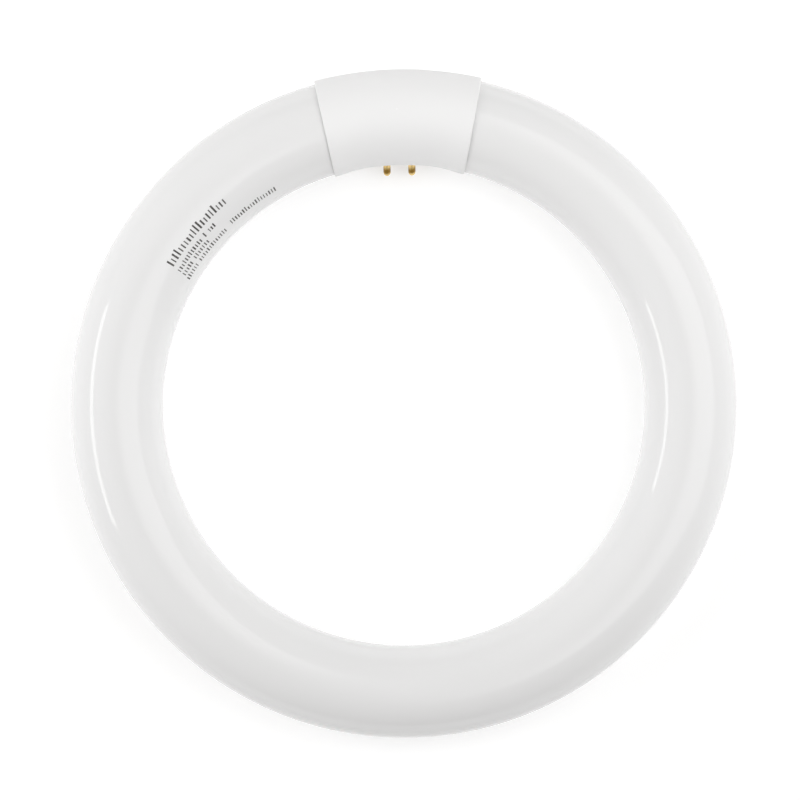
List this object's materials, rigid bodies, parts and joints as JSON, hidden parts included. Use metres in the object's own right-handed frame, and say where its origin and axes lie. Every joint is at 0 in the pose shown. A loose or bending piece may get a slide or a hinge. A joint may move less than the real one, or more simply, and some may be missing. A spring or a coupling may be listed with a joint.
{
  "type": "circular fluorescent tube",
  "caption": "Ring-shaped fluorescent tube of milky glass whose ends meet in a white plastic base with angled brass contact pins.",
  "frame": {"origin": "centre of the glass ring, on its mid-plane", "axes": "+Z out of the front face, which lies uppermost; +Y from the ring's centre to the base; X along the tube at the base"},
  "size_m": [0.2096, 0.2105, 0.0326],
  "materials": {
    "milky_glass": "gloss",
    "base_plastic": "satin",
    "pin_brass": "polished",
    "lead_wire": "drawn wire"
  },
  "bodies": {
    "root": {"glass_tube": "milky_glass", "base_front_shell": "base_plastic", "base_rear_shell": "base_plastic", "contact_pin_front_left": "pin_brass", "contact_pin_front_right": "pin_brass", "contact_pin_rear_left": "pin_brass", "contact_pin_rear_right": "pin_brass", "lead_wire_front_left": "lead_wire", "lead_wire_front_right": "lead_wire", "lead_wire_rear_left": "lead_wire", "lead_wire_rear_right": "lead_wire"}
  },
  "joints": []
}
